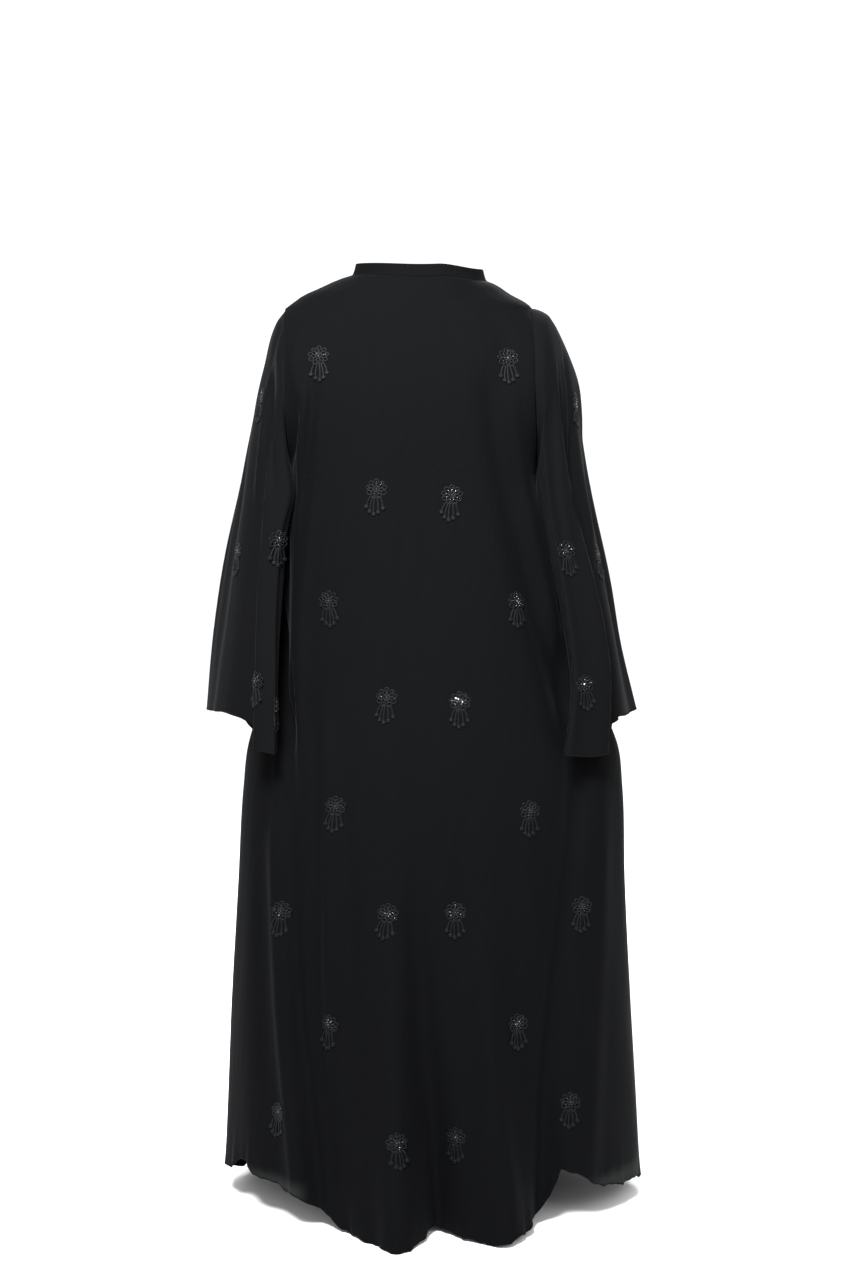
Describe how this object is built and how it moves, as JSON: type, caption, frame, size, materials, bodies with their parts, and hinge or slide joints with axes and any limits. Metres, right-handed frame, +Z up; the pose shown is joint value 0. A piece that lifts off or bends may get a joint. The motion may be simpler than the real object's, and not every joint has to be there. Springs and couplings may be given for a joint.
{
  "type": "abaya cloak",
  "caption": "Full-length open-front abaya cloak with wide straight sleeves and a narrow neckband, worn form, scattered lace flower motifs with fanned bars.",
  "frame": {"origin": "between the shoulders at the height where the shoulder seams meet the neckline, at the middle of the neck opening", "axes": "+Z up, the front faces -Y, +X is the wearer's left"},
  "size_m": [0.6686, 0.541, 1.4113],
  "materials": {
    "cloth": "matte black crepe with a soft sheen",
    "lace": "black guipure lace of satin thread with small black glass beads"
  },
  "bodies": {
    "root": {"back": "cloth", "front_left": "cloth", "front_right": "cloth", "neckband": "cloth", "sleeve_left": "cloth", "sleeve_right": "cloth", "motif_01": "lace", "motif_02": "lace", "motif_03": "lace", "motif_04": "lace", "motif_05": "lace", "motif_06": "lace", "motif_07": "lace", "motif_08": "lace", "motif_09": "lace", "motif_10": "lace", "motif_11": "lace", "motif_12": "lace", "motif_13": "lace", "motif_14": "lace", "motif_15": "lace", "motif_16": "lace", "motif_17": "lace", "motif_18": "lace", "motif_19": "lace", "motif_20": "lace", "motif_21": "lace", "motif_22": "lace", "motif_23": "lace", "motif_24": "lace", "motif_25": "lace", "motif_26": "lace", "motif_27": "lace", "motif_28": "lace", "motif_29": "lace", "motif_30": "lace", "motif_31": "lace", "motif_32": "lace", "motif_33": "lace", "motif_34": "lace", "motif_35": "lace", "motif_36": "lace", "motif_37": "lace", "motif_38": "lace", "motif_39": "lace", "motif_40": "lace", "motif_41": "lace", "motif_42": "lace", "motif_43": "lace", "motif_44": "lace", "motif_45": "lace"}
  },
  "joints": []
}
